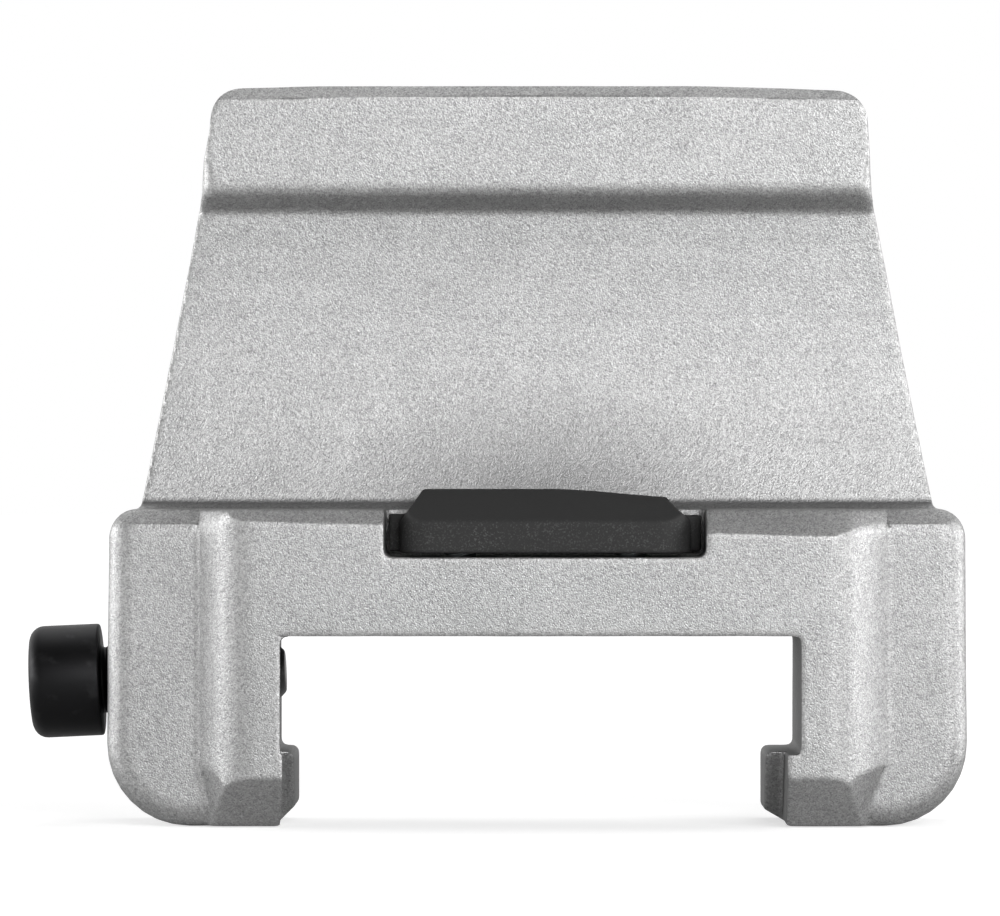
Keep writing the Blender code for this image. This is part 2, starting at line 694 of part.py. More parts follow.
def make_buffer(material):
    """The rubber buffer: a block with a chamfered top, a flange and a pocket for its plate."""
    blank = prism_mesh(buffer_outline(), PLAN_VIEW, BUFFER_BOTTOM, BUFFER_TOP + OVERRUN)
    buffer = place("buffer_pad", blank, parts, material)
    end_shape = prism_mesh(buffer_end_outline(), FRONT_VIEW, FRONT_Y - OVERRUN, WALL_Y)
    boolean(buffer, place("buffer_ends", end_shape, cutters), 'INTERSECT')
    boolean(buffer, place("buffer_front_cut", buffer_front_cutter(), cutters), 'DIFFERENCE')
    boolean(buffer, place("buffer_flange", buffer_flange(), cutters), 'UNION')
    low = BUFFER_BOTTOM - OVERRUN
    pocket_top = PLATE_TOP + RUNNING_GAP
    pocket = prism_mesh(plate_outline(RUNNING_GAP), PLAN_VIEW, low, pocket_top)
    boolean(buffer, place("plate_pocket_cut", pocket, cutters), 'DIFFERENCE')
    relief_top = BUFFER_HEAD_SINK + BUFFER_SCREW_LENGTH + HOLE_GAP
    relief_radius = BUFFER_SCREW_DIAMETER / 2 + HOLE_GAP
    for side, x in buffer_screw_places():
        relief_mesh = turned_mesh([
            (0.0, relief_top),
            (relief_radius, relief_top),
            (relief_radius, low),
            (0.0, low),
        ], SMALL_STEPS)
        relief = place(f"buffer_relief_cut_{side}", relief_mesh, cutters)
        relief.location = (x, BUFFER_SCREW_Y, 0.0)
        boolean(buffer, relief, 'DIFFERENCE')


def make_plate(material):
    """The steel plate in the buffer's base, tapped for the two buffer screws."""
    blank = prism_mesh(plate_outline(0.0), PLAN_VIEW, BUFFER_BOTTOM, PLATE_TOP)
    plate = place("buffer_plate", blank, parts, material)
    radius = BUFFER_SCREW_DIAMETER / 2 + RUNNING_GAP
    for side, x in buffer_screw_places():
        hole_mesh = turned_mesh([
            (0.0, PLATE_TOP + OVERRUN),
            (radius, PLATE_TOP + OVERRUN),
            (radius, BUFFER_BOTTOM - OVERRUN),
            (0.0, BUFFER_BOTTOM - OVERRUN),
        ], SMALL_STEPS)
        hole = place(f"plate_hole_cut_{side}", hole_mesh, cutters)
        hole.location = (x, BUFFER_SCREW_Y, 0.0)
        boolean(plate, hole, 'DIFFERENCE')


def make_buffer_screws(material):
    """The two countersunk screws that hold the buffer down from inside the channel."""
    head = BUFFER_HEAD_DIAMETER / 2
    shank = BUFFER_SCREW_DIAMETER / 2
    profile = [
        (0.0, BUFFER_SCREW_LENGTH),
        (shank - BUFFER_SCREW_END_CHAMFER, BUFFER_SCREW_LENGTH),
        (shank, BUFFER_SCREW_LENGTH - BUFFER_SCREW_END_CHAMFER),
        (shank, head - shank),
        (head, 0.0),
        (0.0, 0.0),
    ]
    for side, x in buffer_screw_places():
        screw = place(f"buffer_screw_{side}", turned_mesh(profile, SMALL_STEPS), parts, material)
        screw.location = (x, BUFFER_SCREW_Y, BUFFER_HEAD_SINK)
        socket_mesh = prism_mesh(hexagon(BUFFER_HEX_WIDTH), PLAN_VIEW, -OVERRUN, BUFFER_HEX_DEPTH)
        socket = place(f"buffer_socket_cut_{side}", socket_mesh, cutters, parent=screw)
        boolean(screw, socket, 'DIFFERENCE')


def make_insert(material):
    """The steel thread insert in the boss, which the clamp screw runs in."""
    outer = INSERT_RADIUS
    inner = SCREW_DIAMETER / 2 + RUNNING_GAP
    profile = [
        (inner, INSERT_INNER_END),
        (outer - INSERT_CHAMFER, INSERT_INNER_END),
        (outer, INSERT_INNER_END - INSERT_CHAMFER),
        (outer, INSERT_OUTER_END + INSERT_CHAMFER),
        (outer - INSERT_CHAMFER, INSERT_OUTER_END),
        (inner, INSERT_OUTER_END),
    ]
    place("thread_insert", turned_mesh(profile, SCREW_STEPS, ring=True), parts, material, screw_axis)


def make_clamp_screw(material):
    """The socket-head clamp screw, bored at its end for the swivel tip's stem."""
    shank = SCREW_DIAMETER / 2
    head = HEAD_DIAMETER / 2
    neck = STEM_DIAMETER / 2 + RUNNING_GAP
    pocket = BEAD_DIAMETER / 2 + RUNNING_GAP
    neck_end = TIP_BASE - STEM_LENGTH + BEAD_LENGTH + RUNNING_GAP
    pocket_end = TIP_BASE - STEM_LENGTH - RUNNING_GAP
    profile = [
        (0.0, pocket_end),
        (pocket, pocket_end),
        (pocket, neck_end),
        (neck, neck_end),
        (neck, SCREW_END),
        (shank - SCREW_END_CHAMFER, SCREW_END),
        (shank, SCREW_END - SCREW_END_CHAMFER),
        (shank, HEAD_UNDERSIDE),
        (head, HEAD_UNDERSIDE),
    ]
    for step in range(ARC_SEGMENTS + 1):
        angle = math.pi / 2 * step / ARC_SEGMENTS
        profile.append((head - HEAD_EDGE_RADIUS * (1 - math.cos(angle)),
                        HEAD_FACE + HEAD_EDGE_RADIUS * (1 - math.sin(angle))))
    profile.append((0.0, HEAD_FACE))
    screw = place("clamp_screw", turned_mesh(profile, SCREW_STEPS), parts, material, screw_axis)
    socket_mesh = prism_mesh(hexagon(HEX_WIDTH), PLAN_VIEW, HEAD_FACE - OVERRUN, HEAD_FACE + HEX_DEPTH)
    boolean(screw, place("hex_socket_cut", socket_mesh, cutters, parent=screw_axis), 'DIFFERENCE')


def make_thrust_tip(material):
    """The swivel tip that bears on the rail, snapped into the screw by its beaded stem."""
    tip = TIP_DIAMETER / 2
    stem = STEM_DIAMETER / 2
    bead = BEAD_DIAMETER / 2
    stem_end = TIP_BASE - STEM_LENGTH
    profile = [
        (0.0, TIP_END),
        (tip - TIP_CHAMFER, TIP_END),
        (tip, TIP_END - TIP_CHAMFER),
        (tip, TIP_BASE),
        (stem, TIP_BASE),
        (stem, stem_end + BEAD_LENGTH),
        (bead, stem_end + BEAD_LENGTH / 2),
        (stem, stem_end),
        (0.0, stem_end),
    ]
    place("thrust_tip", turned_mesh(profile, SMALL_STEPS), parts, material, screw_axis)


clear_scene()
parts = new_collection("rail_cleat")
cutters = new_collection("cutters")

screw_axis = bpy.data.objects.new("screw_axis", None)
screw_axis.location = (-CHANNEL_HALF, SCREW_Y, SCREW_HEIGHT)
screw_axis.rotation_euler = (0.0, math.pi / 2 - SCREW_TILT, 0.0)
parts.objects.link(screw_axis)

cast_aluminium = new_material("blasted cast aluminium", (0.52, 0.52, 0.53), 0.55, 0.9)
black_rubber = new_material("black rubber", (0.035, 0.035, 0.036), 0.6, 0.0)
black_steel = new_material("black oxide steel", (0.02, 0.02, 0.022), 0.4, 0.6)
plain_steel = new_material("plain steel", (0.45, 0.45, 0.46), 0.35, 1.0)
black_acetal = new_material("black acetal", (0.02, 0.02, 0.02), 0.45, 0.0)

make_saddle(cast_aluminium)
make_buffer(black_rubber)
make_plate(plain_steel)
make_buffer_screws(plain_steel)
make_insert(plain_steel)
make_clamp_screw(black_steel)
make_thrust_tip(black_acetal)
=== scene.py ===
# %% [markdown]
# # A clamp-on rail cleat
#
# The object is a small piece of deck hardware: a cast and blasted aluminium saddle that slides
# on a flat rail, a black cap screw that locks it, and a rubber buffer in its front ledge.
# The CAD model is loaded first and gives the frame: its places and sizes are in metres and are
# never changed here. This lesson puts finer meshes and real finishes in the same places.

# %% Load the frame
import json
import math

import bmesh
import bpy
from mathutils import Matrix, Vector


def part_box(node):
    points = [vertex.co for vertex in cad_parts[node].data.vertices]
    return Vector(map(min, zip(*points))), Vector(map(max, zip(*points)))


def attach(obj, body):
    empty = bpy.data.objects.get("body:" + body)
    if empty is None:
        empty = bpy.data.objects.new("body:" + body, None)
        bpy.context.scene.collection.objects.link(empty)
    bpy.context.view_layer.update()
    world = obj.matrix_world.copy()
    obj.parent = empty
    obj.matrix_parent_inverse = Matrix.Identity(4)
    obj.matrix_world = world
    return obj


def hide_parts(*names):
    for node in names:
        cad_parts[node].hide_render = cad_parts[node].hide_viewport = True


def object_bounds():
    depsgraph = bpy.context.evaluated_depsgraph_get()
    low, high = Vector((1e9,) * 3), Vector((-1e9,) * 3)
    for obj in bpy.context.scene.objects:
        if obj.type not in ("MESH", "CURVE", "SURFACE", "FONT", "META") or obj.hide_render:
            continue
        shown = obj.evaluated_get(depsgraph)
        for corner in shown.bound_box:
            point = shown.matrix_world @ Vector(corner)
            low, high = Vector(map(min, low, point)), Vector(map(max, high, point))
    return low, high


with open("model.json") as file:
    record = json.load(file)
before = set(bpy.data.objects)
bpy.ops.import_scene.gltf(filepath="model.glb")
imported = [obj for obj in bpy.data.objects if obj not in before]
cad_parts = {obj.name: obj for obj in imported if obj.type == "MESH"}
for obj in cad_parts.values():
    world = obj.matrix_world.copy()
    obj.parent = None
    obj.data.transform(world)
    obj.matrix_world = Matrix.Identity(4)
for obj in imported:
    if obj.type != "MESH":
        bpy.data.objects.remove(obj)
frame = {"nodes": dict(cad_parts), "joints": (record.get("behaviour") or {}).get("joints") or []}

CAD_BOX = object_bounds()
MM = 0.001
print("CAD box in mm:", [[round(v / MM, 2) for v in corner] for corner in CAD_BOX])

# %% [markdown]
# ## The camera
#
# The photograph looks straight at the front with a long lens, so the sides of the saddle hardly
# converge. A long lens and a level camera 0.55 m away give the same picture. The object stands
# a little right of the middle of the frame, which is a small sideways shift of the lens.

# %% Camera
CAMERA_DISTANCE = 550.0 * MM
CAMERA_HEIGHT = 15.63 * MM
LENS_LENGTH = 226.7
LENS_SHIFT = -0.037

front_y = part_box("saddle_body")[0].y
camera = bpy.data.objects.new("camera", bpy.data.cameras.new("camera"))
camera.location = (0.0, front_y - CAMERA_DISTANCE, CAMERA_HEIGHT)
camera.rotation_euler = (math.radians(90), 0.0, 0.0)
camera.data.lens = LENS_LENGTH
camera.data.shift_x = LENS_SHIFT
bpy.context.scene.collection.objects.link(camera)
bpy.context.scene.camera = camera
print("camera at", [round(v, 4) for v in camera.location])

# %% [markdown]
# ## Helpers for the node trees
#
# Colours are easiest to read as hex values, as a paint shop would give them, but the shader
# works in linear light, so one function turns the first into the second. Another adds a node:
# its settings, and for each input a value or the socket that it is linked from. Sums are so
# common that they get a short form, which works in the tree that is being made. A Mix node for
# colours has its share at input 0, its two colours at 6 and 7, and its result at output 2.

# %% Colour and node helpers
def linear(hex_colour):
    """An sRGB hex colour as linear red, green, blue and alpha."""
    channels = [int(hex_colour[i:i + 2], 16) / 255 for i in (1, 3, 5)]
    return [c / 12.92 if c <= 0.04045 else ((c + 0.055) / 1.055) ** 2.4 for c in channels] + [1.0]


def add_node(tree, kind, inputs, **settings):
    """A new node in a tree, with its settings and its inputs: values, or sockets to link."""
    node = tree.nodes.new(kind)
    for name, value in settings.items():
        setattr(node, name, value)
    for key, value in inputs.items():
        if isinstance(value, bpy.types.NodeSocket):
            tree.links.new(value, node.inputs[key])
        else:
            node.inputs[key].default_value = value
    return node


def worked(operation, *terms):
    """The result of one sum in the tree that is being made."""
    return add_node(tree, "ShaderNodeMath", dict(enumerate(terms)), operation=operation).outputs[0]


def new_finish(name, metallic, roughness):
    """A material with its Principled shader and the object coordinates that its patterns read."""
    material = bpy.data.materials.new(name)
    material.use_nodes = True
    tree = material.node_tree
    shader = tree.nodes["Principled BSDF"]
    shader.inputs["Metallic"].default_value = metallic
    shader.inputs["Roughness"].default_value = roughness
    place = add_node(tree, "ShaderNodeTexCoord", {}).outputs["Object"]
    return material, tree, shader, place


print("middle grey in linear light:", [round(v, 3) for v in linear("#808080")])

# %% [markdown]
# ## Blasted cast aluminium
#
# The casting was blasted with grit, which leaves a dull pale grey skin of tiny dents. Each dent
# tilts the metal a little, so the skin sparkles from close up and looks even from afar.
# One noise would look like fog. Here cells of random grey are the single dents, and two noises
# are the bumps between them. A mapping node of the Texture kind takes each pattern's size
# straight in metres. Seen at a slant the dents hide each other, so the skin does not brighten
# there as polished metal would: that is the grey tint. The hooked lip was dressed with a file,
# so streaks run up across it inside a soft patch.

# %% Cast aluminium finish
DENT_SIZE = 0.14 * MM
DENT_WEIGHT = 0.7
BUMP_SIZE = 0.40 * MM
BUMP_WEIGHT = 0.6
MOTTLE_SIZE = 4.0 * MM
MOTTLE_WEIGHT = 0.25
SKIN_DEPTH = 0.040 * MM
FILE_MARK_LENGTH = 2.6 * MM
FILE_MARK_WIDTH = 0.10 * MM
FILE_MARK_TILT = math.radians(30)
FILE_MARK_WEIGHT = 0.8
FILED_PLACE = (10 * MM, -2 * MM, 45 * MM)
FILED_REACH = (14 * MM, 14 * MM, 6 * MM)
DARKEST_SPECKLE = 0.75
PALEST_SPECKLE = 1.8

aluminium, tree, shader, place = new_finish("blasted_cast_aluminium", metallic=1.0, roughness=0.55)
shader.inputs["Specular Tint"].default_value = linear("#B4B4B4")


def sized(pattern, size, location=(0, 0, 0), rotation=(0, 0, 0), **inputs):
    """A pattern whose cells have the given size in metres."""
    mapping = add_node(tree, "ShaderNodeMapping", {
        "Vector": place, "Location": location, "Rotation": rotation, "Scale": size,
    }, vector_type='TEXTURE')
    return add_node(tree, pattern, {"Vector": mapping.outputs["Vector"], **inputs})


dents = sized("ShaderNodeTexVoronoi", (DENT_SIZE,) * 3, Scale=1.0).outputs["Color"]
grit = sized("ShaderNodeTexNoise", (DENT_SIZE,) * 3, Scale=1.0, Detail=1.0).outputs[0]
bumps = sized("ShaderNodeTexNoise", (BUMP_SIZE,) * 3, Scale=1.0, Detail=1.0).outputs[0]
mottle = sized("ShaderNodeTexNoise", (MOTTLE_SIZE,) * 3, Scale=1.0, Detail=3.0).outputs[0]
marks = sized("ShaderNodeTexNoise", (FILE_MARK_LENGTH, FILE_MARK_LENGTH, FILE_MARK_WIDTH),
              rotation=(0, -FILE_MARK_TILT, 0), Scale=1.0, Detail=1.0).outputs[0]
patch = sized("ShaderNodeTexGradient", FILED_REACH, location=FILED_PLACE)
patch.gradient_type = 'SPHERICAL'

filed = worked('MULTIPLY', worked('SUBTRACT', marks, 0.5), patch.outputs[1])
relief = worked('MULTIPLY_ADD', filed, FILE_MARK_WEIGHT, worked('MULTIPLY_ADD', bumps, BUMP_WEIGHT, grit))
bump = add_node(tree, "ShaderNodeBump", {"Distance": SKIN_DEPTH, "Height": relief})
tree.links.new(bump.outputs["Normal"], shader.inputs["Normal"])

dented = worked('MULTIPLY_ADD', dents, DENT_WEIGHT, relief)
speckle = worked('MULTIPLY_ADD', mottle, MOTTLE_WEIGHT, dented)
tone = add_node(tree, "ShaderNodeMapRange", {"Value": speckle, "From Min": DARKEST_SPECKLE,
                                             "From Max": PALEST_SPECKLE})
metal = add_node(tree, "ShaderNodeMix", {0: tone.outputs[0], 6: linear("#8A8A8A"),
                                         7: linear("#CACACA")}, data_type='RGBA').outputs[2]
print("finish:", aluminium.name)

# %% [markdown]
# Three places are painted darker. Above the buffer a soft patch of painted reflection stands for
# the wall mirroring the black rubber. A thin line of painted shade runs in the corner along the
# foot of the wall. The inside of the channel was out of reach of the grit and has kept the dull
# skin of the mould, and it is painted darker as shade as well: that is every face below the
# channel's ceiling that does not look to the front, which the normal tells.

# %% Painted shade and reflection
CHANNEL_HALF = 23.2 * MM
CHANNEL_CEILING = 0.1 * MM
# Painted shade in the corner along the wall's foot: its height, its half width, and how far back it
# reaches.
FOOT_SHADE_HEIGHT = 11.65 * MM
FOOT_SHADE_SPREAD = 0.55 * MM
FOOT_SHADE_BACK = 4.0 * MM
# Painted reflection: a soft darker patch on the wall above the buffer, where the wall mirrors the black
# rubber.
PAD_REFLECTION_PLACE = (0.5 * MM, -2 * MM, 11 * MM)
PAD_REFLECTION_REACH = (19 * MM, 9 * MM, 13 * MM)
PAD_REFLECTION_STRENGTH = 0.65
# Between these two slants of the normal, the painted shade inside the channel fades in.
FACES_FRONT = -0.45
FACES_ASIDE = -0.2

# The painted reflection of the buffer is mixed into the metal's colour, towards a darker grey.
pad_reflection_patch = sized("ShaderNodeTexGradient", PAD_REFLECTION_REACH, location=PAD_REFLECTION_PLACE)
pad_reflection_patch.gradient_type = 'SPHERICAL'
pad_reflection = worked('MULTIPLY', pad_reflection_patch.outputs[1], PAD_REFLECTION_STRENGTH)
pad_reflected = add_node(tree, "ShaderNodeMix", {0: pad_reflection, 6: metal, 7: linear("#6E6E6E")},
                  data_type='RGBA').outputs[2]
spot = add_node(tree, "ShaderNodeSeparateXYZ", {0: place}).outputs
# Painted shade: a thin darker line in the corner where the wall meets the ledge.
away = worked('ABSOLUTE', worked('SUBTRACT', spot["Z"], FOOT_SHADE_HEIGHT))
line = add_node(tree, "ShaderNodeMapRange", {"Value": away, "From Min": FOOT_SHADE_SPREAD, "From Max": 0.0})
foot_shade = worked('MULTIPLY', line.outputs[0], worked('LESS_THAN', spot["Y"], FOOT_SHADE_BACK))
foot_shaded = add_node(tree, "ShaderNodeMix", {0: foot_shade, 6: pad_reflected, 7: linear("#7A7A7A")},
                 data_type='RGBA').outputs[2]
# Painted shade inside the channel, on its duller skin: faces below the ceiling that do not look to the
# front get a plain darker grey.
normal = add_node(tree, "ShaderNodeNewGeometry", {}).outputs["True Normal"]
facing = add_node(tree, "ShaderNodeSeparateXYZ", {0: normal}).outputs["Y"]
sideways = add_node(tree, "ShaderNodeMapRange", {"Value": facing, "From Min": FACES_FRONT,
                                                 "From Max": FACES_ASIDE})
between = worked('LESS_THAN', worked('ABSOLUTE', spot["X"]), CHANNEL_HALF)
below = worked('LESS_THAN', spot["Z"], CHANNEL_CEILING)
inside = worked('MULTIPLY', sideways.outputs[0], worked('MULTIPLY', between, below))
dulled_and_shaded = add_node(tree, "ShaderNodeMix", {0: inside, 6: foot_shaded, 7: linear("#868686")},
                  data_type='RGBA').outputs[2]
tree.links.new(dulled_and_shaded, shader.inputs["Base Color"])
print("darker places: above the buffer, along the wall's foot, inside the channel")

# %% [markdown]
# ## Black oxide steel
#
# The cap screw is blackened in a hot salt bath. The coating is thin and takes the polish of the
# steel below, so the head is near black with a soft sheen, and it is rubbed to grey in places.
# It is still steel to the eye, so it is a metal with a very dark colour.

# %% Black oxide finish
SCUFF_SIZE = 1.6 * MM
FIRST_WORN = 0.56
FULLY_WORN = 0.75
SHINIEST = 0.42
DULLEST = 0.54

black_steel, tree, shader, place = new_finish("black_oxide_steel", metallic=1.0, roughness=0.46)
scuffs = sized("ShaderNodeTexNoise", (SCUFF_SIZE,) * 3, Scale=1.0, Detail=4.0).outputs[0]
worn = add_node(tree, "ShaderNodeMapRange", {"Value": scuffs, "From Min": FIRST_WORN,
                                             "From Max": FULLY_WORN})
coat = add_node(tree, "ShaderNodeMix", {0: worn.outputs[0], 6: linear("#242425"),
                                        7: linear("#323233")}, data_type='RGBA')
tree.links.new(coat.outputs[2], shader.inputs["Base Color"])
sheen = add_node(tree, "ShaderNodeMapRange", {"Value": scuffs, "To Min": SHINIEST, "To Max": DULLEST})
tree.links.new(sheen.outputs[0], shader.inputs["Roughness"])
print("finish:", black_steel.name)

# %% [markdown]
# ## Moulded black rubber
#
# The buffer is moulded in a tool whose upright walls were left rough, so its front is dull and
# dusted with pale specks, while its sloped top is smooth. Rubber is no metal: it is nearly
# black with a faint, broad shine. The specks fade out above the crease of the slope.

# %% Rubber finish
SPECK_SIZE = 0.16 * MM
SPECK_PATCH = 1.8 * MM
FIRST_SPECK = 0.52
FULL_SPECK = 0.8
PORE_DEPTH = 0.012 * MM
SLOPE_HEIGHT = 2.85 * MM
CREASE_FADE = 0.3 * MM

pad_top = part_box("buffer_pad")[1].z
crease_height = pad_top - SLOPE_HEIGHT
rubber, tree, shader, place = new_finish("moulded_black_rubber", metallic=0.0, roughness=0.72)
specks = sized("ShaderNodeTexNoise", (SPECK_SIZE,) * 3, Scale=1.0, Detail=1.0).outputs[0]
drifts = sized("ShaderNodeTexNoise", (SPECK_PATCH,) * 3, Scale=1.0, Detail=2.0).outputs[0]
height = add_node(tree, "ShaderNodeSeparateXYZ", {0: place}).outputs["Z"]
upright = add_node(tree, "ShaderNodeMapRange", {
    "Value": height, "From Min": crease_height + CREASE_FADE, "From Max": crease_height - CREASE_FADE,
})
bright = add_node(tree, "ShaderNodeMapRange", {"Value": specks, "From Min": FIRST_SPECK,
                                               "From Max": FULL_SPECK})
dusted = worked('MULTIPLY', worked('MULTIPLY', bright.outputs[0], drifts), upright.outputs[0])
compound = add_node(tree, "ShaderNodeMix", {0: dusted, 6: linear("#1A1A1A"), 7: linear("#545454")},
                    data_type='RGBA')
tree.links.new(compound.outputs[2], shader.inputs["Base Color"])
pores = add_node(tree, "ShaderNodeBump", {"Distance": PORE_DEPTH, "Height": specks})
tree.links.new(pores.outputs["Normal"], shader.inputs["Normal"])
print("finish:", rubber.name)

# %% [markdown]
# ## Black acetal and zinc-plated steel
#
# The swivel tip is turned from black acetal, a hard plastic with a satin skin. The buffer's
# screws, its plate and the thread insert are zinc plated, a bright grey metal that is never
# quite even.

# %% Acetal and zinc finishes
SWIRL_SIZE = 0.3 * MM
CLOUD_SIZE = 0.8 * MM

acetal, tree, shader, place = new_finish("turned_black_acetal", metallic=0.0, roughness=0.38)
swirl = sized("ShaderNodeTexNoise", (SWIRL_SIZE,) * 3, Scale=1.0, Detail=2.0).outputs[0]
blend = add_node(tree, "ShaderNodeMix", {0: swirl, 6: linear("#151516"), 7: linear("#232324")},
                 data_type='RGBA')
tree.links.new(blend.outputs[2], shader.inputs["Base Color"])
print("finish:", acetal.name)

zinc, tree, shader, place = new_finish("zinc_plated_steel", metallic=1.0, roughness=0.36)
cloud = sized("ShaderNodeTexNoise", (CLOUD_SIZE,) * 3, Scale=1.0, Detail=3.0).outputs[0]
plating = add_node(tree, "ShaderNodeMix", {0: cloud, 6: linear("#A2A4A6"), 7: linear("#C4C6C8")},
                   data_type='RGBA')
tree.links.new(plating.outputs[2], shader.inputs["Base Color"])
print("finish:", zinc.name)

# %% [markdown]
# ## The casting
#
# CAD gives the casting crisp edges, but sand and grit leave every edge soft. A bevel would have
# to follow hundreds of edges that meet at odd angles. A voxel remesh followed by a little
# smoothing rounds them all alike, as blasting does. The skin of a casting is never quite flat,
# so a small Geometry Nodes tree then lets it waver, always inwards, so that the casting
# stays inside its CAD size. A last Decimate thins the flat places.

# %% Casting skin tree
def baked(thing):
    """The mesh of an object with its modifiers applied, and the object itself removed."""
    graph = bpy.context.evaluated_depsgraph_get()
    mesh = bpy.data.meshes.new_from_object(thing.evaluated_get(graph), depsgraph=graph)
    bpy.data.objects.remove(thing)
    return mesh


def new_tree(name, sockets):
    """A Geometry Nodes tree with named inputs, and the socket of each input by name."""
    tree = bpy.data.node_groups.new(name, 'GeometryNodeTree')
    tree.interface.new_socket("Geometry", in_out='OUTPUT', socket_type='NodeSocketGeometry')
    for label, kind in sockets.items():
        tree.interface.new_socket(label, in_out='INPUT', socket_type=kind)
    given = tree.nodes.new("NodeGroupInput")
    return tree, {label: given.outputs[label] for label in sockets}


def close_tree(tree, geometry, material):
    """The end of every tree here: real geometry, its material, and the output."""
    real = add_node(tree, "GeometryNodeRealizeInstances", {0: geometry})
    painted = add_node(tree, "GeometryNodeSetMaterial", {"Geometry": real.outputs[0],
                                                         "Material": material})
    add_node(tree, "NodeGroupOutput", {0: painted.outputs[0]})


def run_tree(tree, mesh, values):
    """Run a tree on a mesh as a modifier, with its inputs set by identifier, and bake it."""
    thing = bpy.data.objects.new(tree.name, mesh)
    bpy.context.scene.collection.objects.link(thing)
    modifier = thing.modifiers.new(tree.name, 'NODES')
    modifier.node_group = tree
    for item in tree.interface.items_tree:
        if item.in_out == 'INPUT' and item.name in values:
            modifier[item.identifier] = values[item.name]
    return baked(thing)


tree, given = new_tree("cast_skin", {
    "Casting": 'NodeSocketGeometry', "Wave": 'NodeSocketFloat', "Depth": 'NodeSocketFloat',
    "Material": 'NodeSocketMaterial',
})
position = add_node(tree, "GeometryNodeInputPosition", {}).outputs[0]
per_wave = worked('DIVIDE', 1.0, given["Wave"])
stretched = add_node(tree, "ShaderNodeVectorMath", {0: position, "Scale": per_wave}, operation='SCALE')
waver = add_node(tree, "ShaderNodeTexNoise", {
    "Vector": stretched.outputs[0], "Scale": 1.0, "Detail": 2.0,
})
sink = worked('MULTIPLY', worked('MULTIPLY', waver.outputs[0], given["Depth"]), -1.0)
normal = add_node(tree, "GeometryNodeInputNormal", {}).outputs[0]
push = add_node(tree, "ShaderNodeVectorMath", {0: normal, "Scale": sink}, operation='SCALE')
moved = add_node(tree, "GeometryNodeSetPosition", {"Geometry": given["Casting"],
                                                   "Offset": push.outputs[0]})
close_tree(tree, moved.outputs[0], given["Material"])
skin_tree = tree
print("tree:", skin_tree.name)

# %% [markdown]
# The CAD mesh comes in as loose triangles, so a copy is welded before it is remeshed. The voxel
# size is the smallest edge that the casting should show, and each round of smoothing softens
# the edges by about a third of a voxel.

# %% Casting, remeshed
WELD = 0.001 * MM
CAST_VOXEL = 0.22 * MM
CAST_SMOOTHING = 4


def welded_copy(node):
    """A copy of a CAD node's mesh with its loose triangles joined."""
    mesh = frame["nodes"][node].data.copy()
    shape = bmesh.new()
    shape.from_mesh(mesh)
    bmesh.ops.remove_doubles(shape, verts=shape.verts, dist=WELD)
    shape.to_mesh(mesh)
    shape.free()
    mesh.materials.clear()
    return mesh


def softened(mesh, voxel, rounds):
    """The mesh remeshed into small even faces and smoothed, which rounds every edge."""
    thing = bpy.data.objects.new("soft", mesh)
    bpy.context.scene.collection.objects.link(thing)
    remesh = thing.modifiers.new("remesh", 'REMESH')
    remesh.mode = 'VOXEL'
    remesh.voxel_size = voxel
    smooth = thing.modifiers.new("smooth", 'SMOOTH')
    smooth.iterations = rounds
    return baked(thing)


cast = softened(welded_copy("saddle_body"), CAST_VOXEL, CAST_SMOOTHING)
print("casting remeshed:", len(cast.vertices), "points")

# %% [markdown]
# ## Dressing the casting
#
# After the mould came hand work, and the photograph shows it: the wall is slightly dished, its
# side edges are rubbed round, most of all at the ends of the hook, and the edges along the top of
# the hook and of the shoulders are filed flat, as are the block's top corners. Each is a rule that
# looks at where a point is and moves it a little way into the metal, which is quicker than
# Booleans on so fine a mesh. One rule adds metal: the left leg keeps a thin overhang along the
# front of the channel. Each of the block's corners is given as a point on the filed flat and the
# direction that the flat faces. The wall's outline is a list of heights and half widths.

# %% Dressing rules
WALL_MIDDLE = 3.0 * MM
WALL_OUTLINE = ((11.2 * MM, 35.2 * MM), (39.2 * MM, 29.8 * MM), (48.7 * MM, 29.2 * MM))
DISH_DEPTH = 0.4 * MM
DISH_HALF = 30.0 * MM
DISH_TOP = 37.5 * MM
SIDE_RADIUS = 0.35 * MM
HOOK_END_RADIUS = 0.9 * MM
HOOK_END_FOOT = 36.5 * MM
HOOK_END_TOP = 42.5 * MM
SIDE_FADE = 3.0 * MM
HOOK_FRONT = -2.1 * MM
HOOK_FLAT = 1.0 * MM
CREST_DROP = 0.4 * MM
SHOULDER_FRONT = -5.8 * MM
SHOULDER_FLAT = 1.5 * MM
BLOCK_MIDDLE = 0.5 * MM
BLOCK_HALF = 30.6 * MM
LEFT_CORNER = (Vector((-27.05, -10.0, 10.1)) * MM, Vector((-0.76, -0.46, 0.46)))
RIGHT_CORNER = (Vector((27.4, -10.0, 8.8)) * MM, Vector((0.56, -0.585, 0.585)))
CORNER_BLEND = 0.45 * MM
EASE_REACH = 0.35 * MM
EASE_FOOT = 42.0 * MM
EASE_TOP = 49.5 * MM
OVERHANG_PLACE = -23.05 * MM
OVERHANG_REACH = 0.65 * MM
OVERHANG_WIDTH = 3.0 * MM
OVERHANG_DEPTH = 8.0 * MM

ledge_height = WALL_OUTLINE[0][0]
crest_height, crest_half = WALL_OUTLINE[-1]


def bow(value, low, high):
    """A curve that is 0 at both limits and beyond, and 1 half way between them."""
    share = (value - low) / (high - low)
    return max(0.0, 4 * share * (1 - share))


def ramp(value, low, high):
    """A smooth rise from 0 at the low value to 1 at the high one."""
    share = min(max((value - low) / (high - low), 0.0), 1.0)
    return share * share * (3 - 2 * share)


def wall_half(height):
    """Half the width of the wall at a height."""
    for (low, wide), (high, narrow) in zip(WALL_OUTLINE, WALL_OUTLINE[1:]):
        if height <= high:
            return wide + (narrow - wide) * (height - low) / (high - low)
    return crest_half


